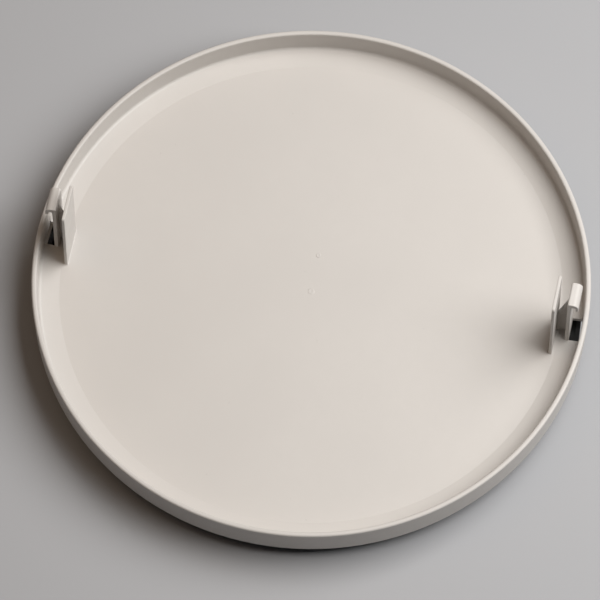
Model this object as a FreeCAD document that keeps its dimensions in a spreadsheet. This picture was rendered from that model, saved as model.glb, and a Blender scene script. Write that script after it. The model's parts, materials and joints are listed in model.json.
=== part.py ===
"""Lazy susan: a round dish with two hooked clips that turns on a ball ring over a low footed base.

Millimetres, +Z up. The origin is on the table under the turning axis. +X points at the right clip.
"""
import FreeCAD, Part
import math
import os
import re
import Sketcher

# Driving dimensions. Each name is an alias in the sheet, and every feature below is bound to them.
SIZES = {
    # Dish: a flat floor, a gently rising ring around it and a low wall with a rounded lip.
    "dish_radius": 125.0,
    "lip_height": 24.6,
    "lip_thickness": 2.3,
    "lip_round": 0.9,
    "wall_foot_radius": 122.1,
    "wall_foot_height": 12.8,
    "wall_foot_round": 1.4,
    "crease_radius": 112.9,
    "floor_height": 11.7,
    "floor_thickness": 2.2,
    "skirt_draft": 0.4,
    "skirt_height": 9.8,
    # Clips: a curled hook, set to one side of a taller stop plate, and a web that ties the two together.
    "clip_root_height": 11.2,
    "hook_inner": 115.7,
    "hook_thickness": 1.8,
    "hook_width": 11.4,
    "hook_shift": 4.5,
    "hook_height": 49.0,
    "hook_cap": 2.6,
    "hook_reach": 5.0,
    "hook_tip": 1.4,
    "hook_droop": 5.2,
    "hook_shoulder": 0.9,
    "hook_curl": 2.6,
    "hook_throat": 0.8,
    "hook_nose": 0.5,
    "plate_inner": 109.8,
    "plate_thickness": 1.4,
    "plate_width": 18.0,
    "plate_height": 57.0,
    "plate_round": 1.2,
    "web_thickness": 1.6,
    "web_low": 25.4,
    "web_high": 45.2,
    "clip_edge_round": 0.3,
    "slot_outer": 122.4,
    "slot_length": 11.0,
    # Underside of the dish.
    "seat_inner": 50.0,
    "seat_outer": 64.0,
    "seat_height": 8.7,
    "rib_count": 12.0,
    "rib_thickness": 1.6,
    "rib_height": 7.9,
    "rib_inner": 63.0,
    "rib_outer": 112.0,
    "hoop_radius": 94.0,
    "boss_radius": 8.5,
    "boss_height": 6.9,
    # Base: a flat pan almost as wide as the dish, with a low rim, a centre hub, ribs and foot pockets.
    "base_radius": 121.6,
    "base_bottom": 1.0,
    "base_top": 3.4,
    "base_chamfer": 1.0,
    "base_rim_height": 6.6,
    "base_rim_thickness": 2.0,
    "base_rib_height": 5.2,
    "base_rib_inner": 11.0,
    "base_rib_outer": 50.5,
    "rim_rib_inner": 64.5,
    "rim_rib_count": 12.0,
    "under_recess_inner": 20.0,
    "under_recess_outer": 92.0,
    "under_recess_depth": 0.5,
    "hub_radius": 12.0,
    "hub_height": 6.0,
    "hub_recess_radius": 9.4,
    "hub_recess_top": 3.2,
    # Ball ring.
    "race_inner": 51.0,
    "race_outer": 63.0,
    "race_thickness": 1.0,
    "track_radius": 56.0,
    "ball_radius": 2.0,
    "ball_count": 18.0,
    "track_depth": 0.4,
    "running_gap": 0.05,
    "cage_inner": 51.6,
    "cage_outer": 60.4,
    "cage_thickness": 1.6,
    "pocket_gap": 0.15,
    # Countersunk screws that hold the races.
    "screw_ring": 60.3,
    "screw_head_radius": 1.9,
    "screw_shank_radius": 1.1,
    "screw_head_depth": 0.8,
    "screw_length": 2.7,
    "screw_count": 4.0,
    # Centre pivot.
    "bush_radius": 6.0,
    "bush_flange_radius": 8.8,
    "bush_flange_thickness": 0.8,
    "pivot_radius": 4.0,
    "pivot_thread_radius": 2.2,
    "pivot_thread_top": 10.3,
    "pivot_head_radius": 6.4,
    "pivot_head_bottom": 1.5,
    "pivot_head_top": 2.6,
    "cross_width": 1.0,
    "cross_length": 5.0,
    "cross_depth": 0.7,
    "washer_radius": 7.4,
    "washer_hole_radius": 4.2,
    "cover_bottom": 0.5,
    "cover_lap": 1.4,
    "cover_wall": 1.2,
    "cover_lip_height": 1.2,
    # Feet.
    "foot_count": 6.0,
    "foot_ring": 106.0,
    "foot_radius": 7.5,
    "foot_round": 0.5,
    "foot_pocket_depth": 0.8,
}

XY, XZ = "XY_Plane", "XZ_Plane"
CLOSE = 0.02
WORD = re.compile(r"[a-z]+_[a-z_]+")

document = FreeCAD.newDocument("lazy_susan")
sheet = document.addObject("Spreadsheet::Sheet", "sizes")
for row, (alias, number) in enumerate(SIZES.items(), start=1):
    sheet.set(f"A{row}", alias)
    sheet.set(f"B{row}", str(number))
    sheet.setAlias(f"B{row}", alias)
document.recompute()


# ---------------------------------------------------------------- helpers

def linked(expression):
    """An expression over the sheet's aliases, written as FreeCAD reads it from another object."""
    return WORD.sub(lambda found: "sizes." + found.group(0), str(expression))


def amount(expression):
    """The number that an expression over the sheet's aliases has now."""
    return float(sheet.evalExpression(linked(expression)))


def bind(item, **properties):
    """Bind an object's properties to expressions over the sheet's aliases."""
    for name, expression in properties.items():
        item.setExpression(name.replace("__", "."), linked(expression))
    return item


def new_body(name):
    body = document.addObject("PartDesign::Body", name + "_body")
    return body


def new_sketch(body, name, plane, lift="0", turn=0.0):
    """An empty sketch on an origin plane of the body, lifted along the plane's normal and turned about it."""
    sketch = body.newObject("Sketcher::SketchObject", name)
    origin_plane = next(item for item in body.Origin.OriginFeatures if item.Role == plane)
    sketch.AttachmentSupport = (origin_plane, [""])
    sketch.MapMode = "FlatFace"
    rotation = FreeCAD.Rotation(FreeCAD.Vector(0, 0, 1), turn)
    sketch.AttachmentOffset = FreeCAD.Placement(FreeCAD.Vector(0, 0, amount(lift)), rotation)
    sketch.setExpression("AttachmentOffset.Base.z", linked(lift))
    return sketch


def pin_point(sketch, geometry, point, across, up):
    """Fix one point of a sketch at a place given by two expressions."""
    for kind, expression in (("DistanceX", across), ("DistanceY", up)):
        rule = Sketcher.Constraint(kind, -1, 1, geometry, point, amount(expression))
        number = sketch.addConstraint(rule)
        sketch.setExpression(f"Constraints[{number}]", linked(expression))


def add_outline(sketch, corners):
    """Add a closed outline of straight sides; each corner is a pair of expressions."""
    first = sketch.GeometryCount
    places = [FreeCAD.Vector(amount(across), amount(up), 0) for across, up in corners]
    for index, start in enumerate(places):
        sketch.addGeometry(Part.LineSegment(start, places[(index + 1) % len(places)]))
    for index in range(len(corners)):
        following = first + (index + 1) % len(corners)
        sketch.addConstraint(Sketcher.Constraint("Coincident", first + index, 2, following, 1))
    for index, (across, up) in enumerate(corners):
        pin_point(sketch, first + index, 1, across, up)


def add_wall_slot(sketch, near, wall_radius, middle, length):
    """Add an outline with a straight inner side and an outer side that follows a wall about the origin."""
    low, high = f"{middle} - {length} / 2", f"{middle} + {length} / 2"
    radius = amount(wall_radius)
    turns = [math.asin(amount(edge) / radius) for edge in (low, high)]
    corners = [FreeCAD.Vector(amount(near), amount(edge), 0) for edge in (low, high)]
    ends = [FreeCAD.Vector(radius * math.cos(turn), radius * math.sin(turn), 0) for turn in turns]
    inner = sketch.addGeometry(Part.LineSegment(corners[1], corners[0]))
    lower = sketch.addGeometry(Part.LineSegment(corners[0], ends[0]))
    circle = Part.Circle(FreeCAD.Vector(0, 0, 0), FreeCAD.Vector(0, 0, 1), radius)
    wall = sketch.addGeometry(Part.ArcOfCircle(circle, *turns))
    upper = sketch.addGeometry(Part.LineSegment(ends[1], corners[1]))
    joints = [(inner, 2, lower, 1), (lower, 2, wall, 1), (wall, 2, upper, 1), (upper, 2, inner, 1)]
    for joint in joints + [(wall, 3, -1, 1)]:
        sketch.addConstraint(Sketcher.Constraint("Coincident", *joint))
    for side in (lower, upper):
        sketch.addConstraint(Sketcher.Constraint("Horizontal", side))
    pin_point(sketch, inner, 1, near, high)
    pin_point(sketch, inner, 2, near, low)
    number = sketch.addConstraint(Sketcher.Constraint("Radius", wall, radius))
    sketch.setExpression(f"Constraints[{number}]", linked(wall_radius))


def add_circle(sketch, across, up, radius):
    """Add a circle whose centre and radius are expressions."""
    centre = FreeCAD.Vector(amount(across), amount(up), 0)
    upward = FreeCAD.Vector(0, 0, 1)
    index = sketch.addGeometry(Part.Circle(centre, upward, amount(radius)))
    pin_point(sketch, index, 3, across, up)
    number = sketch.addConstraint(Sketcher.Constraint("Radius", index, amount(radius)))
    sketch.setExpression(f"Constraints[{number}]", linked(radius))


def around(radius, count, first_angle=0.0):
    """Centres of evenly spaced features on a circle, as pairs of expressions."""
    number = round(amount(count))
    angles = [first_angle + 360.0 * index / number for index in range(number)]
    return [(f"{radius} * cos({angle} deg)", f"{radius} * sin({angle} deg)") for angle in angles]


def revolve(body, name, corners):
    """Turn a straight-sided outline in the XZ plane about the Z axis."""
    sketch = new_sketch(body, name + "_outline", XZ)
    add_outline(sketch, corners)
    feature = body.newObject("PartDesign::Revolution", name)
    feature.Profile = sketch
    feature.ReferenceAxis = (sketch, ["V_Axis"])
    feature.Angle = 360.0
    document.recompute()
    return feature


def grow(body, sketch, name, length, symmetric=False, downward=False):
    """Pad a sketch along its normal, or to both sides of it."""
    feature = body.newObject("PartDesign::Pad", name)
    feature.Profile = sketch
    feature.Reversed = downward
    if symmetric:
        feature.SideType = "Symmetric"
    bind(feature, Length=length)
    document.recompute()
    return feature


def cut(body, sketch, name, length, upward=False):
    """Pocket a sketch into the body, and make sure that it took something away."""
    before = body.Shape.Volume
    feature = body.newObject("PartDesign::Pocket", name)
    feature.Profile = sketch
    feature.Reversed = upward
    bind(feature, Length=length)
    document.recompute()
    if body.Shape.Volume >= before:
        raise RuntimeError(name + " cut nothing")
    return feature


def repeat(body, feature, count):
    """Copy a feature evenly about the Z axis."""
    pattern = body.newObject("PartDesign::PolarPattern", feature.Name + "_ring")
    pattern.Originals = [feature]
    axis = next(item for item in body.Origin.OriginFeatures if item.Role == "Z_Axis")
    pattern.Axis = (axis, [""])
    pattern.Angle = 360.0
    bind(pattern, Occurrences=count)
    body.Tip = pattern
    document.recompute()
    return pattern


def add_ribs(body, name, inner, outer, low, height, count, turn=0.0):
    """Evenly spaced radial ribs between two radii, grown upward from a low plane."""
    sketch = new_sketch(body, name + "_outline", XY, low, turn)
    add_outline(sketch, [
        (inner, "-rib_thickness / 2"),
        (outer, "-rib_thickness / 2"),
        (outer, "rib_thickness / 2"),
        (inner, "rib_thickness / 2"),
    ])
    return repeat(body, grow(body, sketch, name, height), count)


def round_edges(body, name, radius, wanted):
    """Round the edges of the body's tip that a test picks out."""
    tip = body.Tip
    names = [f"Edge{number}" for number, edge in enumerate(tip.Shape.Edges, start=1) if wanted(edge)]
    if not names:
        raise RuntimeError(name + " found no edge")
    feature = body.newObject("PartDesign::Fillet", name)
    feature.Base = (tip, names)
    bind(feature, Radius=radius)
    document.recompute()
    return feature


def is_ring(edge, radius, height):
    """True for a circular edge about the Z axis with this radius and height."""
    box = edge.BoundBox
    flat = abs(box.ZMin - amount(height)) < CLOSE and abs(box.ZMax - amount(height)) < CLOSE
    return flat and isinstance(edge.Curve, Part.Circle) and abs(edge.Curve.Radius - amount(radius)) < CLOSE


def is_cross_edge(edge, across, up):
    """True for a straight edge along Y at this X and Z."""
    box = edge.BoundBox
    on_line = abs(box.XMin - amount(across)) < CLOSE and abs(box.XMax - amount(across)) < CLOSE
    at_height = abs(box.ZMin - amount(up)) < CLOSE and abs(box.ZMax - amount(up)) < CLOSE
    return on_line and at_height


def solid(kind, name, at=("0", "0", "0"), **sizes):
    """A Part primitive, its place and its sizes bound to the sheet."""
    item = document.addObject("Part::" + kind, name)
    places = dict(zip(("Placement__Base__x", "Placement__Base__y", "Placement__Base__z"), at))
    return bind(item, **places, **sizes)


def joined(name, items):
    """Several solids as one object; the ones that don't touch stay separate solids."""
    result = document.addObject("Part::MultiFuse", name)
    result.Shapes = items
    return result


def without(name, item, tools):
    """An object with others cut out of it."""
    result = document.addObject("Part::Cut", name)
    result.Base = item
    result.Tool = tools[0] if len(tools) == 1 else joined(name + "_cutters", tools)
    return result


parts = {}


def keep(node, item):
    """Give a finished sub-part its node name."""
    item.Label = node
    parts[node] = item


# ---------------------------------------------------------------- heights worked out once

BALL_HEIGHT = "(base_top + race_thickness - track_depth + ball_radius + running_gap)"
UPPER_RACE_BOTTOM = f"({BALL_HEIGHT} + ball_radius + running_gap - track_depth)"
FLOOR_UNDERSIDE = "(floor_height - floor_thickness)"


# ---------------------------------------------------------------- dish

def make_dish():
    body = new_body("dish")
    revolve(body, "dish_form", [
        ("0", FLOOR_UNDERSIDE),
        ("crease_radius", FLOOR_UNDERSIDE),
        ("wall_foot_radius", "wall_foot_height - floor_thickness"),
        ("dish_radius - lip_thickness", "skirt_height"),
        ("dish_radius - skirt_draft", "skirt_height"),
        ("dish_radius", "lip_height"),
        ("dish_radius - lip_thickness", "lip_height"),
        ("wall_foot_radius", "wall_foot_height"),
        ("crease_radius", "floor_height"),
        ("0", "floor_height"),
    ])

    def lip_edge(edge):
        inner = is_ring(edge, "dish_radius - lip_thickness", "lip_height")
        return inner or is_ring(edge, "dish_radius", "lip_height")

    round_edges(body, "lip_rounding", "lip_round", lip_edge)
    round_edges(body, "wall_foot_rounding", "wall_foot_round",
                lambda edge: is_ring(edge, "wall_foot_radius", "wall_foot_height"))

    seat = new_sketch(body, "race_seat_outline", XY, "seat_height")
    add_circle(seat, "0", "0", "seat_outer")
    add_circle(seat, "0", "0", "seat_inner")
    grow(body, seat, "race_seat", f"{FLOOR_UNDERSIDE} - seat_height + floor_thickness / 2")

    boss = new_sketch(body, "pivot_boss_outline", XY, "boss_height")
    add_circle(boss, "0", "0", "boss_radius")
    grow(body, boss, "pivot_boss", f"{FLOOR_UNDERSIDE} - boss_height + floor_thickness / 2")

    hoop = new_sketch(body, "stiffening_hoop_outline", XY, "rib_height")
    add_circle(hoop, "0", "0", "hoop_radius + rib_thickness / 2")
    add_circle(hoop, "0", "0", "hoop_radius - rib_thickness / 2")
    grow(body, hoop, "stiffening_hoop", f"{FLOOR_UNDERSIDE} - rib_height + floor_thickness / 2")

    add_ribs(body, "rib", "rib_inner", "rib_outer", "rib_height",
             f"{FLOOR_UNDERSIDE} - rib_height + floor_thickness / 2", "rib_count", turn=15.0)

    thread = new_sketch(body, "pivot_thread_outline", XY, "boss_height")
    add_circle(thread, "0", "0", "pivot_thread_radius")
    cut(body, thread, "pivot_thread_hole", "pivot_thread_top - boss_height", upward=True)

    screws = new_sketch(body, "upper_screw_outline", XY, "seat_height")
    for across, up in around("screw_ring", "screw_count", 45.0):
        add_circle(screws, across, up, "screw_shank_radius")
    cut(body, screws, "upper_screw_holes", "screw_length - race_thickness", upward=True)

    for side, turn, middle in (("right", 0.0, "hook_shift"), ("left", 180.0, "-hook_shift")):
        slot = new_sketch(body, side + "_slot_outline", XY, "lip_height", turn)
        add_wall_slot(slot, "hook_inner + hook_thickness", "slot_outer", middle, "slot_length")
        cut(body, slot, side + "_slot", "lip_height")
    return body


def make_clip(node, dish, angle, hook_middle):
    """A clip made on the +X side, turned into place, its foot cut to the dish's surface.

    The stop plate is centred on the XZ plane; hook_middle is the Y of the hook and its web before the turn.
    """
    body = new_body(node)
    web = new_sketch(body, node + "_web_outline", XZ, f"-({hook_middle})")
    overlap = "plate_thickness / 2"
    add_outline(web, [
        (f"plate_inner + {overlap}", "clip_root_height"),
        (f"hook_inner + {overlap}", "clip_root_height"),
        (f"hook_inner + {overlap}", "web_high"),
        (f"plate_inner + {overlap}", "web_low"),
    ])
    grow(body, web, node + "_web", "web_thickness", symmetric=True)

    hook = new_sketch(body, node + "_hook_outline", XZ, f"-({hook_middle})")
    nose = "hook_inner + hook_reach"
    add_outline(hook, [
        ("hook_inner", "clip_root_height"),
        ("hook_inner + hook_thickness", "clip_root_height"),
        ("hook_inner + hook_thickness", "hook_height - hook_cap"),
        (f"{nose} - hook_tip", "hook_height - hook_cap"),
        (f"{nose} - hook_tip", "hook_height - hook_droop"),
        (nose, "hook_height - hook_droop"),
        (nose, "hook_height"),
        ("hook_inner", "hook_height"),
    ])
    grow(body, hook, node + "_hook", "hook_width", symmetric=True)

    plate = new_sketch(body, node + "_plate_outline", XY, "clip_root_height")
    add_outline(plate, [
        ("plate_inner", "-plate_width / 2"),
        ("plate_inner + plate_thickness", "-plate_width / 2"),
        ("plate_inner + plate_thickness", "plate_width / 2"),
        ("plate_inner", "plate_width / 2"),
    ])
    grow(body, plate, node + "_plate", "plate_height - clip_root_height")

    def hook_throat(edge):
        inner = is_cross_edge(edge, "hook_inner + hook_thickness", "hook_height - hook_cap")
        return inner or is_cross_edge(edge, f"{nose} - hook_tip", "hook_height - hook_cap")

    def hook_nose(edge):
        inner = is_cross_edge(edge, f"{nose} - hook_tip", "hook_height - hook_droop")
        return inner or is_cross_edge(edge, nose, "hook_height - hook_droop")

    def plate_corner(edge):
        box = edge.BoundBox
        at_top = abs(box.ZMin - amount("plate_height")) < CLOSE
        return at_top and box.YLength < CLOSE and abs(box.XLength - amount("plate_thickness")) < CLOSE

    def hook_side(edge):
        box = edge.BoundBox
        from_middle = abs(box.YMin - amount(hook_middle))
        return box.YLength < CLOSE and abs(from_middle - amount("hook_width / 2")) < CLOSE

    def plate_rim(edge):
        box = edge.BoundBox
        faces = (amount("plate_inner"), amount("plate_inner + plate_thickness"))
        on_face = box.XLength < CLOSE and min(abs(box.XMin - face) for face in faces) < CLOSE
        on_top = box.ZMax > amount("plate_height - plate_round") - CLOSE
        on_side = abs(box.YMin) > amount("plate_width / 2") - CLOSE
        return on_face and (on_top or on_side)

    round_edges(body, node + "_curl", "hook_curl", lambda edge: is_cross_edge(edge, nose, "hook_height"))
    round_edges(body, node + "_shoulder", "hook_shoulder",
                lambda edge: is_cross_edge(edge, "hook_inner", "hook_height"))
    round_edges(body, node + "_throat", "hook_throat", hook_throat)
    round_edges(body, node + "_nose", "hook_nose", hook_nose)
    round_edges(body, node + "_corners", "plate_round", plate_corner)
    round_edges(body, node + "_hook_sides", "clip_edge_round", hook_side)
    round_edges(body, node + "_plate_rim", "clip_edge_round", plate_rim)

    body.Placement.Rotation = FreeCAD.Rotation(FreeCAD.Vector(0, 0, 1), angle)
    return without(node + "_trimmed", body, [dish])


# ---------------------------------------------------------------- base

def make_base():
    body = new_body("base")
    revolve(body, "base_form", [
        ("0", "base_bottom"),
        ("under_recess_inner", "base_bottom"),
        ("under_recess_inner + under_recess_depth", "base_bottom + under_recess_depth"),
        ("under_recess_outer - under_recess_depth", "base_bottom + under_recess_depth"),
        ("under_recess_outer", "base_bottom"),
        ("base_radius - base_chamfer", "base_bottom"),
        ("base_radius", "base_bottom + base_chamfer"),
        ("base_radius", "base_rim_height"),
        ("base_radius - base_rim_thickness", "base_rim_height"),
        ("base_radius - base_rim_thickness", "base_top"),
        ("0", "base_top"),
    ])
    hub = new_sketch(body, "hub_outline", XY, "(base_bottom + base_top) / 2")
    add_circle(hub, "0", "0", "hub_radius")
    grow(body, hub, "hub", "hub_height - (base_bottom + base_top) / 2")

    rib_growth = "base_rib_height - (base_bottom + base_top) / 2"
    add_ribs(body, "hub_rib", "base_rib_inner", "base_rib_outer", "(base_bottom + base_top) / 2",
             rib_growth, "foot_count")
    add_ribs(body, "rim_rib", "rim_rib_inner", "base_radius - base_rim_thickness / 2",
             "(base_bottom + base_top) / 2", rib_growth, "rim_rib_count")

    recess = new_sketch(body, "hub_recess_outline", XY, "base_bottom")
    add_circle(recess, "0", "0", "hub_recess_radius")
    cut(body, recess, "hub_recess", "hub_recess_top - base_bottom", upward=True)

    bore = new_sketch(body, "hub_bore_outline", XY, "hub_height")
    add_circle(bore, "0", "0", "bush_radius")
    cut(body, bore, "hub_bore", "hub_height")

    pockets = new_sketch(body, "foot_pocket_outline", XY, "base_bottom")
    for across, up in around("foot_ring", "foot_count", 30.0):
        add_circle(pockets, across, up, "foot_radius")
    cut(body, pockets, "foot_pockets", "foot_pocket_depth", upward=True)

    screws = new_sketch(body, "lower_screw_outline", XY, "base_top")
    for across, up in around("screw_ring", "screw_count", 45.0):
        add_circle(screws, across, up, "screw_shank_radius")
    cut(body, screws, "lower_screw_holes", "screw_length - race_thickness")
    return body


def make_foot(number, across, up):
    """A round pad in its pocket, its lower edge rounded."""
    name = f"foot_{number}"
    pad = solid("Cylinder", name + "_pad", (across, up, "0"),
                Radius="foot_radius", Height="base_bottom + foot_pocket_depth")
    document.recompute()
    edges = [index for index, edge in enumerate(pad.Shape.Edges, start=1)
             if abs(edge.BoundBox.ZMax) < CLOSE]
    foot = document.addObject("Part::Fillet", name + "_rounded")
    foot.Base = pad
    radius = amount("foot_round")
    foot.Edges = [(index, radius, radius) for index in edges]
    return foot


# ---------------------------------------------------------------- ball ring

def countersunk(name, across, up, face, points_down):
    """A countersunk screw whose head is flush with a face and whose shank runs down or up from it."""
    head = solid("Cone", name + "_head", (across, up, face),
                 Radius1="screw_head_radius", Radius2="screw_shank_radius", Height="screw_head_depth")
    shank = solid("Cylinder", name + "_shank", (across, up, face),
                  Radius="screw_shank_radius", Height="screw_length")
    whole = joined(name, [head, shank])
    if points_down:
        centre = FreeCAD.Vector(amount(across), amount(up), amount(face))
        flip = FreeCAD.Rotation(FreeCAD.Vector(1, 0, 0), 180)
        whole.Placement = FreeCAD.Placement(centre - flip.multVec(centre), flip)
    return whole


def make_screws(name, face, points_down):
    places = around("screw_ring", "screw_count", 45.0)
    screws = [countersunk(f"{name}_{number}", across, up, face, points_down)
              for number, (across, up) in enumerate(places, start=1)]
    document.recompute()
    return joined(name + "_group", screws)


def make_race(name, bottom, screws):
    """A flat steel ring with a round ball track in one face and countersunk holes for its screws."""
    ring = solid("Cylinder", name + "_ring", ("0", "0", bottom), Radius="race_outer", Height="race_thickness")
    hole = solid("Cylinder", name + "_hole", ("0", "0", bottom), Radius="race_inner", Height="race_thickness")
    track = solid("Torus", name + "_track", ("0", "0", BALL_HEIGHT),
                  Radius1="track_radius", Radius2="ball_radius + running_gap")
    return without(name + "_cut", ring, [hole, track, screws])


def make_cage():
    """A flat ring with one round pocket for each ball."""
    low = f"{BALL_HEIGHT} - cage_thickness / 2"
    ring = solid("Cylinder", "cage_ring", ("0", "0", low), Radius="cage_outer", Height="cage_thickness")
    tools = [solid("Cylinder", "cage_hole", ("0", "0", low), Radius="cage_inner", Height="cage_thickness")]
    for number, (across, up) in enumerate(around("track_radius", "ball_count"), start=1):
        tools.append(solid("Cylinder", f"cage_pocket_{number}", (across, up, low),
                           Radius="ball_radius + pocket_gap", Height="cage_thickness"))
    return without("cage_cut", ring, tools)


def make_balls():
    balls = [solid("Sphere", f"ball_{number}", (across, up, BALL_HEIGHT), Radius="ball_radius")
             for number, (across, up) in enumerate(around("track_radius", "ball_count"), start=1)]
    return joined("balls", balls)


# ---------------------------------------------------------------- centre pivot

def make_bush():
    """A flanged sleeve in the hub's bore."""
    sleeve = solid("Cylinder", "bush_sleeve", ("0", "0", "hub_recess_top"),
                   Radius="bush_radius", Height="hub_height - hub_recess_top")
    flange = solid("Cylinder", "bush_flange", ("0", "0", "hub_height"),
                   Radius="bush_flange_radius", Height="bush_flange_thickness")
    bore = solid("Cylinder", "bush_bore", ("0", "0", "hub_recess_top"),
                 Radius="pivot_radius + running_gap",
                 Height="hub_height - hub_recess_top + bush_flange_thickness")
    return without("bush_cut", joined("bush_form", [sleeve, flange]), [bore])


def make_pivot():
    """A shoulder screw: cross-slotted head below the hub, shoulder in the bush, thread in the dish's boss."""
    head = solid("Cylinder", "pivot_head", ("0", "0", "pivot_head_bottom"),
                 Radius="pivot_head_radius", Height="pivot_head_top - pivot_head_bottom")
    shoulder = solid("Cylinder", "pivot_shoulder", ("0", "0", "pivot_head_top"),
                     Radius="pivot_radius", Height="boss_height - pivot_head_top")
    thread = solid("Cylinder", "pivot_thread", ("0", "0", "boss_height"),
                   Radius="pivot_thread_radius", Height="pivot_thread_top - boss_height")
    slots = [
        solid("Box", "pivot_slot_long", ("-cross_length / 2", "-cross_width / 2", "pivot_head_bottom"),
              Length="cross_length", Width="cross_width", Height="cross_depth"),
        solid("Box", "pivot_slot_short", ("-cross_width / 2", "-cross_length / 2", "pivot_head_bottom"),
              Length="cross_width", Width="cross_length", Height="cross_depth"),
    ]
    return without("pivot_cut", joined("pivot_form", [head, shoulder, thread]), slots)


def make_washer():
    """A flat washer under the hub, just clear of the pivot's head."""
    low = "pivot_head_top + running_gap"
    disc = solid("Cylinder", "washer_disc", ("0", "0", low),
                 Radius="washer_radius", Height="hub_recess_top - pivot_head_top - running_gap")
    hole = solid("Cylinder", "washer_hole", ("0", "0", low),
                 Radius="washer_hole_radius", Height="hub_recess_top - pivot_head_top - running_gap")
    return without("washer_cut", disc, [hole])


def make_cover():
    """A thin cover pressed into the mouth of the hub's recess."""
    plate = solid("Cylinder", "cover_plate", ("0", "0", "cover_bottom"),
                  Radius="hub_recess_radius + cover_lap", Height="base_bottom - cover_bottom")
    ring = solid("Cylinder", "cover_ring", ("0", "0", "base_bottom"),
                 Radius="hub_recess_radius", Height="cover_lip_height")
    hollow = solid("Cylinder", "cover_hollow", ("0", "0", "base_bottom"),
                   Radius="hub_recess_radius - cover_wall", Height="cover_lip_height")
    return joined("cover_form", [plate, without("cover_lip", ring, [hollow])])


# ---------------------------------------------------------------- build, check, write

dish_body = make_dish()
keep("tray_shell", dish_body)
keep("right_clip", make_clip("right_clip", dish_body, 0.0, "hook_shift"))
keep("left_clip", make_clip("left_clip", dish_body, 180.0, "-hook_shift"))
keep("base_disc", make_base())
for foot_number, (foot_x, foot_y) in enumerate(around("foot_ring", "foot_count", 30.0), start=1):
    keep(f"foot_{foot_number}", make_foot(foot_number, foot_x, foot_y))

lower_screws = make_screws("lower_race_screw", "base_top + race_thickness", points_down=True)
upper_screws = make_screws("upper_race_screw", UPPER_RACE_BOTTOM, points_down=False)
keep("lower_race_screws", lower_screws)
keep("upper_race_screws", upper_screws)
keep("lower_race", make_race("lower_race_blank", "base_top", lower_screws))
keep("upper_race", make_race("upper_race_blank", UPPER_RACE_BOTTOM, upper_screws))
keep("ball_cage", make_cage())
keep("bearing_balls", make_balls())
keep("pivot_bush", make_bush())
keep("pivot_screw", make_pivot())
keep("thrust_washer", make_washer())
keep("pivot_cover", make_cover())
document.recompute()

for item in document.Objects:
    if "Invalid" in item.State or "Error" in item.State:
        raise RuntimeError(f"{item.Label} failed: {item.State}")
for node, item in parts.items():
    if item.Shape.isNull() or not item.Shape.isValid():
        raise RuntimeError(node + " has no valid shape")

os.makedirs("parts", exist_ok=True)
for node, item in parts.items():
    item.Shape.exportStep(f"parts/{node}.step")
    box = item.Shape.BoundBox
    print(f"{node}: {len(item.Shape.Solids)} solid(s), {item.Shape.Volume:.1f} mm3, "
          f"z {box.ZMin:.2f} to {box.ZMax:.2f}, x {box.XMin:.2f} to {box.XMax:.2f}")
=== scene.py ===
"""An off-white moulded lazy susan on a pale floor: materials, moulded details, studio light and camera."""

import json
import math

import bmesh
import bpy
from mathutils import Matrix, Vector


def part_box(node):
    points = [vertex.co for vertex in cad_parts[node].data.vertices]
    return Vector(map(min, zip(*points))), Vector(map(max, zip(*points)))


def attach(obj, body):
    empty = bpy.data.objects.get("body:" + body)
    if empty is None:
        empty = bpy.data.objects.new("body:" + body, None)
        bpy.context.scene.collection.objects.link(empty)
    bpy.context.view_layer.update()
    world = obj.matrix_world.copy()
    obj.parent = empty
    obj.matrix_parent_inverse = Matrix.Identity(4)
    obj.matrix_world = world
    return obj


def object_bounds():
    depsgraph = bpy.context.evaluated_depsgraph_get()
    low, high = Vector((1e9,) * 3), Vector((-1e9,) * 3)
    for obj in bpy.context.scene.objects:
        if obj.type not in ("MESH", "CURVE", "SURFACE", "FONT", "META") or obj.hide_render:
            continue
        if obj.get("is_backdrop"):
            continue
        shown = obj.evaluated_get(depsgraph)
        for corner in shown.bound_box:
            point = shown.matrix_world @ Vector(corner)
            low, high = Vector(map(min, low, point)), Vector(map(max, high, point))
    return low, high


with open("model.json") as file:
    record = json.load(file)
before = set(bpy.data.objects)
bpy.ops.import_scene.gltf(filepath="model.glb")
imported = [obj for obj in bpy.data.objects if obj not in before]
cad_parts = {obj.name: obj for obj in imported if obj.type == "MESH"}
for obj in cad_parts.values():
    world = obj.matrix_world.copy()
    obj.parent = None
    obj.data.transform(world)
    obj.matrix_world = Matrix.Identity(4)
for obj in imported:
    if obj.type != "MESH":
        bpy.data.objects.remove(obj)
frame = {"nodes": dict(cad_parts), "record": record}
CAD_LOW, CAD_HIGH = (tuple(corner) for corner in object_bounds())

MM = 0.001
DISH_HIGH = Vector(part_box("tray_shell")[1])
DISH_RADIUS = DISH_HIGH.x
LIP_HEIGHT = DISH_HIGH.z
FLOOR_HEIGHT = next(m for m in frame["record"]["mounts"] if m["name"] == "dish_floor")["pos_m"][2]

scene = bpy.context.scene


# ---------------------------------------------------------------- materials

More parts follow.
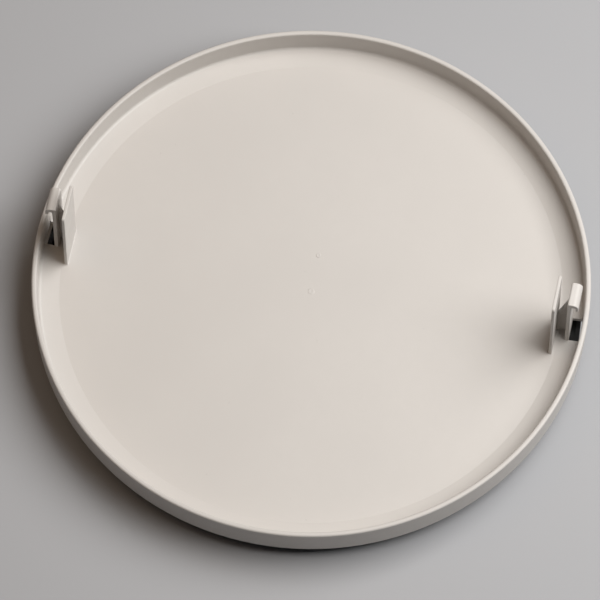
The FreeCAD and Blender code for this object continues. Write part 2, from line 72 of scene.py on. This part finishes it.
class Material:
    """A node material with one Principled shader, and short calls for the nodes that feed it."""

    def __init__(self, name):
        self.data = bpy.data.materials.new(name)
        self.data.use_nodes = True
        self.tree = self.data.node_tree
        self.shader = self.tree.nodes["Principled BSDF"]
        self.place = self.node("ShaderNodeTexCoord").outputs["Object"]

    def node(self, kind, **values):
        """Add a node. An input is named with underscores for spaces; any other name is a setting."""
        made = self.tree.nodes.new(kind)
        for name, value in values.items():
            socket = made.inputs.get(name.replace("_", " "))
            if socket is None:
                setattr(made, name, value)
            elif isinstance(value, bpy.types.NodeSocket):
                self.tree.links.new(value, socket)
            else:
                socket.default_value = value
        return made

    def noise(self, size, detail=3.0, roughness=0.5, place=None):
        """Noise with features of about this size in metres."""
        made = self.node("ShaderNodeTexNoise", Vector=place or self.place, Scale=1.0 / size,
                         Detail=detail, Roughness=roughness)
        return made.outputs["Fac"]

    def spread(self, factor, low, high, from_low=0.35, from_high=0.65):
        """Map a factor's middle range to low..high."""
        made = self.node("ShaderNodeMapRange", Value=factor)
        limits = {"From Min": from_low, "From Max": from_high, "To Min": low, "To Max": high}
        for name, value in limits.items():
            made.inputs[name].default_value = value
        return made.outputs["Result"]

    def blend(self, factor, first, second):
        """Mix two colours; each is a colour or a socket."""
        made = self.node("ShaderNodeMix", data_type="RGBA")
        self.tree.links.new(factor, made.inputs["Factor"])
        for socket, value in ((made.inputs[6], first), (made.inputs[7], second)):
            if isinstance(value, bpy.types.NodeSocket):
                self.tree.links.new(value, socket)
            else:
                socket.default_value = (*value, 1.0)
        return made.outputs[2]

    def bump(self, height, depth, below=None):
        """Bump of this depth in metres on top of another bump."""
        made = self.node("ShaderNodeBump", Height=height, Distance=depth, Strength=1.0)
        if below is not None:
            self.tree.links.new(below, made.inputs["Normal"])
        return made.outputs["Normal"]

    def feed(self, name, source):
        """Give a shader input a number, or link a socket to it."""
        socket = self.shader.inputs[name]
        if isinstance(source, bpy.types.NodeSocket):
            self.tree.links.new(source, socket)
        else:
            socket.default_value = source


def shade(colour, factor):
    """A colour made lighter or darker."""
    return tuple(channel * factor for channel in colour)


SPECK_SPACING = 9.0 * MM
SPECK_SHADE = 0.6
SPECK_EDGE = (0.02, 0.035)
SINK_WAVE_SIZE = 22.0 * MM
SINK_WAVE_DEPTH = 0.05 * MM


def moulded_plastic(name, colour, roughness, grain, grain_depth, specks=0.0):
    """Moulded plastic: fine grain, faint sink waves, slightly uneven colour and, if asked, dark specks."""
    made = Material(name)
    wide = made.noise(45.0 * MM, detail=2.0)
    fine = made.noise(6.0 * MM, detail=4.0)
    uneven = made.blend(made.spread(wide, 0.0, 1.0), shade(colour, 0.985), shade(colour, 1.01))
    uneven = made.blend(made.spread(fine, 0.0, 0.35), uneven, shade(colour, 0.985))
    if specks:
        spots = made.node("ShaderNodeTexVoronoi", Vector=made.place, Scale=1.0 / SPECK_SPACING,
                          Randomness=1.0)
        mask = made.spread(spots.outputs["Distance"], specks, 0.0, *SPECK_EDGE)
        uneven = made.blend(mask, uneven, shade(colour, SPECK_SHADE))
    made.feed("Base Color", uneven)
    grain_height = made.noise(grain, detail=3.0, roughness=0.6)
    wave_height = made.noise(SINK_WAVE_SIZE, detail=1.0)
    waves = made.bump(wave_height, SINK_WAVE_DEPTH)
    made.feed("Normal", made.bump(grain_height, grain_depth, waves))
    made.feed("Roughness", made.spread(made.noise(3.0 * MM), roughness - 0.05, roughness + 0.05))
    made.feed("Specular IOR Level", 0.45)
    return made.data


def turned_steel(name, colour, roughness):
    """Zinc-plated steel with fine rings about the Z axis and cloudy plating."""
    made = Material(name)
    parts = made.node("ShaderNodeSeparateXYZ", Vector=made.place)
    flat = made.node("ShaderNodeCombineXYZ", X=parts.outputs["X"], Y=parts.outputs["Y"])
    radius = made.node("ShaderNodeVectorMath", operation="LENGTH")
    made.tree.links.new(flat.outputs["Vector"], radius.inputs[0])
    ring = made.node("ShaderNodeCombineXYZ", X=radius.outputs["Value"])
    rings = made.noise(0.35 * MM, detail=4.0, place=ring.outputs["Vector"])
    clouds = made.spread(made.noise(7.0 * MM, detail=4.0), 0.0, 1.0)
    made.feed("Base Color", made.blend(clouds, shade(colour, 0.86), shade(colour, 1.06)))
    made.feed("Metallic", 1.0)
    made.feed("Roughness", made.spread(rings, roughness - 0.08, roughness + 0.08))
    made.feed("Normal", made.bump(rings, 0.004 * MM))
    return made.data


def polished_steel(name, colour, roughness):
    """Bearing balls: bright, with faint running marks."""
    made = Material(name)
    marks = made.noise(0.5 * MM, detail=5.0, roughness=0.7)
    made.feed("Base Color", made.blend(made.spread(marks, 0.0, 1.0), shade(colour, 0.93), colour))
    made.feed("Metallic", 1.0)
    made.feed("Roughness", made.spread(marks, roughness, roughness + 0.06))
    made.feed("Normal", made.bump(marks, 0.002 * MM))
    return made.data


def matt_rubber(name, colour, roughness):
    """Rubber feet: matt, slightly dusty and pitted."""
    made = Material(name)
    dust = made.noise(2.5 * MM, detail=5.0, roughness=0.65)
    pits = made.noise(0.35 * MM, detail=2.0)
    made.feed("Base Color", made.blend(made.spread(dust, 0.0, 1.0), colour, shade(colour, 1.7)))
    made.feed("Roughness", made.spread(pits, roughness - 0.06, roughness + 0.08))
    made.feed("Normal", made.bump(pits, 0.02 * MM))
    return made.data


TRAY_COLOUR = (0.580, 0.548, 0.515)
# The base is a real part, but its near-black tone is painted shade: it makes the slots in the dish look
# into deep shade.
BASE_COLOUR_AND_SLOT_SHADE = (0.006, 0.006, 0.0065)
CAGE_COLOUR = (0.72, 0.72, 0.69)
BUSH_COLOUR = (0.66, 0.65, 0.58)
RACE_COLOUR = (0.56, 0.56, 0.55)
SCREW_COLOUR = (0.60, 0.60, 0.58)
BALL_COLOUR = (0.72, 0.72, 0.73)
RUBBER_COLOUR = (0.030, 0.030, 0.032)

# The numbers after a colour are the roughness and, for plastics, the grain's size and depth.
SLOT_MATERIALS = {
    "tray_plastic": moulded_plastic("tray_plastic", TRAY_COLOUR, 0.46, 0.45 * MM, 0.012 * MM, specks=0.35),
    # Painted shade: the base plastic's near-black tone stands in for the shade seen through the dish's
    # slots.
    "base_plastic": moulded_plastic("base_plastic", BASE_COLOUR_AND_SLOT_SHADE, 0.55, 0.6 * MM, 0.02 * MM),
    "cage_plastic": moulded_plastic("cage_plastic", CAGE_COLOUR, 0.40, 0.8 * MM, 0.008 * MM),
    "bush_plastic": moulded_plastic("bush_plastic", BUSH_COLOUR, 0.42, 0.8 * MM, 0.008 * MM),
    "race_steel": turned_steel("race_steel", RACE_COLOUR, 0.34),
    "screw_steel": turned_steel("screw_steel", SCREW_COLOUR, 0.30),
    "ball_steel": polished_steel("ball_steel", BALL_COLOUR, 0.08),
    "foot_rubber": matt_rubber("foot_rubber", RUBBER_COLOUR, 0.78),
}


def dress_nodes():
    """Give every CAD node the material of its slot in the record."""
    for row in frame["record"]["subparts"]:
        node = frame["nodes"][row["node"]]
        node.data.materials.clear()
        node.data.materials.append(SLOT_MATERIALS[row["material_slot"]])


# ---------------------------------------------------------------- moulded details

# Profiles of the two marks: radius and height above the dish floor, in millimetres.
GATE_MARK = [(0.0, 0.03), (0.35, 0.03), (0.55, 0.06), (1.15, 0.07), (1.45, 0.05), (1.60, -0.05)]
PIN_MARK = [(0.0, 0.05), (0.55, 0.05), (0.75, 0.11), (0.95, 0.11), (1.10, -0.05)]
PIN_MARK_OFFSET = (-0.3 * MM, 18.0 * MM)
TURN_STEPS = 48

# Quarter rounds in the fillets and the bead have this many steps.
ARC_STEPS = 6

# The clips' stop plates stand across the X axis. Each fillet sinks a little into the plate and the floor.
PLATE_THICKNESS = 1.4 * MM
PLATE_WIDTH = 18.0 * MM
ROOT_RADIUS = 0.4 * MM
ROOT_SINK = 0.15 * MM

# The lip's top is two quarter rounds with a narrow flat land between them. The bead stands proud of it,
# and its lower side is tucked into the wall.
LIP_ROUND = 0.9 * MM
LIP_LAND = 0.52 * MM
BEAD_PROUD = 0.03 * MM
BEAD_TUCK = 0.4 * MM
BEAD_STEPS = 360


def finish_mesh(name, mesh):
    """Turn a bmesh into an object that rides on the tray and takes the tray's plastic."""
    bmesh.ops.recalc_face_normals(mesh, faces=mesh.faces)
    data = bpy.data.meshes.new(name)
    mesh.to_mesh(data)
    mesh.free()
    for face in data.polygons:
        face.use_smooth = True
    data.materials.append(SLOT_MATERIALS["tray_plastic"])
    piece = bpy.data.objects.new(name, data)
    scene.collection.objects.link(piece)
    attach(piece, "tray")


def bridge(mesh, rows, closed):
    """Join rows of vertices with quads; closed also joins the last row to the first."""
    pairs = list(zip(rows, rows[1:] + rows[:1])) if closed else list(zip(rows, rows[1:]))
    for below, above in pairs:
        for index, vertex in enumerate(below):
            following = (index + 1) % len(below)
            mesh.faces.new((vertex, below[following], above[following], above[index]))


def turned_mark(name, profile, across, up):
    """A low round mark on the dish floor, from a profile of radius and height in millimetres."""
    mesh = bmesh.new()
    peak = mesh.verts.new((across, up, FLOOR_HEIGHT + profile[0][1] * MM))
    rows = []
    for radius, height in profile[1:]:
        row = []
        for step in range(TURN_STEPS):
            angle = math.tau * step / TURN_STEPS
            place = (across + radius * MM * math.cos(angle), up + radius * MM * math.sin(angle),
                     FLOOR_HEIGHT + height * MM)
            row.append(mesh.verts.new(place))
        rows.append(row)
    for index in range(TURN_STEPS):
        mesh.faces.new((peak, rows[0][index], rows[0][(index + 1) % TURN_STEPS]))
    bridge(mesh, rows, closed=False)
    mesh.faces.new(rows[-1])
    finish_mesh(name, mesh)


def root_fillet(name, clip):
    """The small concave fillet where a clip's stop plate grows out of the dish floor."""
    low, high = (Vector(corner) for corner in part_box(clip))
    side = 1.0 if low.x > 0.0 else -1.0
    face = low.x if side > 0.0 else high.x
    middle = Vector((face + side * PLATE_THICKNESS / 2, 0.0, FLOOR_HEIGHT))
    half_x, half_y = PLATE_THICKNESS / 2, PLATE_WIDTH / 2
    turns = [math.radians(90.0 * step / ARC_STEPS) for step in range(ARC_STEPS + 1)]
    profile = []
    for turn in turns:
        profile.append((ROOT_RADIUS * (1.0 - math.sin(turn)), ROOT_RADIUS * (1.0 - math.cos(turn))))
    profile += [(-ROOT_SINK, ROOT_RADIUS), (-ROOT_SINK, -ROOT_SINK), (ROOT_RADIUS, -ROOT_SINK)]
    mesh = bmesh.new()
    rows = []
    for offset, height in profile:
        row = []
        for corner, (sign_x, sign_y) in enumerate(((1, 1), (-1, 1), (-1, -1), (1, -1))):
            for turn in turns:
                angle = turn + math.radians(90.0 * corner)
                place = Vector((sign_x * half_x + offset * math.cos(angle),
                                sign_y * half_y + offset * math.sin(angle), height))
                row.append(mesh.verts.new(middle + place))
        rows.append(row)
    bridge(mesh, rows, closed=True)
    finish_mesh(name, mesh)


def lip_bead():
    """A fine smooth ring over the rounded top of the lip, so that the rim catches the light evenly."""
    outer_middle = DISH_RADIUS - LIP_ROUND
    inner_middle = outer_middle - LIP_LAND
    height = LIP_HEIGHT - LIP_ROUND
    reach = LIP_ROUND + BEAD_PROUD
    profile = []
    for middle, start in ((outer_middle, 0.0), (inner_middle, 90.0)):
        for step in range(ARC_STEPS + 1):
            turn = math.radians(start + 90.0 * step / ARC_STEPS)
            profile.append((middle + reach * math.cos(turn), height + reach * math.sin(turn)))
    profile.append((inner_middle - BEAD_TUCK, height - BEAD_TUCK))
    profile.append((outer_middle + BEAD_TUCK, height - BEAD_TUCK))
    mesh = bmesh.new()
    rows = []
    for radius, up in profile:
        row = []
        for step in range(BEAD_STEPS):
            angle = math.tau * step / BEAD_STEPS
            row.append(mesh.verts.new((radius * math.cos(angle), radius * math.sin(angle), up)))
        rows.append(row)
    bridge(mesh, rows, closed=True)
    finish_mesh("lip_bead", mesh)


def make_details():
    lip_bead()
    turned_mark("gate_mark", GATE_MARK, 0.0, 0.0)
    turned_mark("pin_mark", PIN_MARK, *PIN_MARK_OFFSET)
    root_fillet("right_plate_fillet", "right_clip")
    root_fillet("left_plate_fillet", "left_clip")


# ---------------------------------------------------------------- floor, light, camera

FLOOR_SIZE = 8.0
FLOOR_COLOUR = (0.40, 0.40, 0.41)
FLOOR_CLOUD_SIZE = 0.5

# Camera: 25 degrees off the vertical, far away, with the right clip a little nearer than the left one.
VIEW_AZIMUTH = 11.5
VIEW_ELEVATION = 65.0
VIEW_DISTANCE = 24.0 * DISH_RADIUS
LENS = 403.0
SENSOR = 36.0
# How far the camera's target is moved from the middle of the lip, across and up the picture.
AIM_RIGHT = -5.0 * MM
AIM_UP = -9.4 * MM
CLIP_NEAR = 0.05
CLIP_FAR = 20.0

# Square soft lights: metres and watts. The key is on the right, the warm fill on the left.
LIGHTS = {
    "key": {
        "azimuth": VIEW_AZIMUTH + 99.0,
        "elevation": 57.0,
        "distance": 1.05,
        "size": 0.95,
        "power": 16.6,
        "colour": (1.0, 0.995, 0.985),
    },
    "fill": {
        "azimuth": VIEW_AZIMUTH - 95.0,
        "elevation": 58.0,
        "distance": 0.8,
        "size": 0.6,
        "power": 0.8,
        "colour": (1.0, 0.74, 0.52),
    },
}
WORLD_COLOUR = (0.93, 0.95, 1.0, 1.0)
WORLD_STRENGTH = 0.030


def make_floor():
    """A large plain sheet that the object stands on."""
    bpy.ops.mesh.primitive_plane_add(size=FLOOR_SIZE, location=(0.0, 0.0, CAD_LOW[2]))
    floor = bpy.context.object
    floor.name = "floor"
    made = Material("floor_paper")
    cloud = made.spread(made.noise(FLOOR_CLOUD_SIZE, detail=2.0), 0.0, 1.0)
    made.feed("Base Color", made.blend(cloud, shade(FLOOR_COLOUR, 0.99), shade(FLOOR_COLOUR, 1.01)))
    made.feed("Roughness", 0.85)
    floor.data.materials.append(made.data)
    floor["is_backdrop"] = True


def toward(azimuth, elevation):
    """Direction from the dish to a camera or light; azimuth 0 is the front, -Y, and 90 the right, +X."""
    turn = math.radians(azimuth)
    rise = math.radians(elevation)
    return Vector((math.sin(turn) * math.cos(rise), -math.cos(turn) * math.cos(rise), math.sin(rise)))


def aim(item, target):
    """Turn a camera or light to face a place."""
    item.rotation_euler = (Vector(target) - item.location).to_track_quat("-Z", "Y").to_euler()


def make_light(name, azimuth, elevation, distance, size, power, colour):
    light = bpy.data.lights.new(name, "AREA")
    light.shape = "SQUARE"
    light.size = size
    light.energy = power
    light.color = colour
    item = bpy.data.objects.new(name, light)
    scene.collection.objects.link(item)
    item.location = toward(azimuth, elevation) * distance
    aim(item, (0.0, 0.0, FLOOR_HEIGHT))


def make_lights():
    for name, values in LIGHTS.items():
        make_light(name, **values)
    world = bpy.data.worlds.new("studio")
    scene.world = world
    world.use_nodes = True
    background = world.node_tree.nodes["Background"]
    background.inputs["Color"].default_value = WORLD_COLOUR
    background.inputs["Strength"].default_value = WORLD_STRENGTH


def make_camera():
    camera = bpy.data.cameras.new("camera")
    camera.lens = LENS
    camera.sensor_width = SENSOR
    camera.clip_start = CLIP_NEAR
    camera.clip_end = CLIP_FAR
    item = bpy.data.objects.new("camera", camera)
    scene.collection.objects.link(item)
    back = toward(VIEW_AZIMUTH, VIEW_ELEVATION)
    right = toward(VIEW_AZIMUTH + 90.0, 0.0)
    up = back.cross(right)
    target = Vector((0.0, 0.0, LIP_HEIGHT)) + right * AIM_RIGHT + up * AIM_UP
    item.location = target + back * VIEW_DISTANCE
    aim(item, target)
    scene.camera = item


scene.view_settings.view_transform = "Standard"
dress_nodes()
make_details()
make_floor()
make_lights()
make_camera()
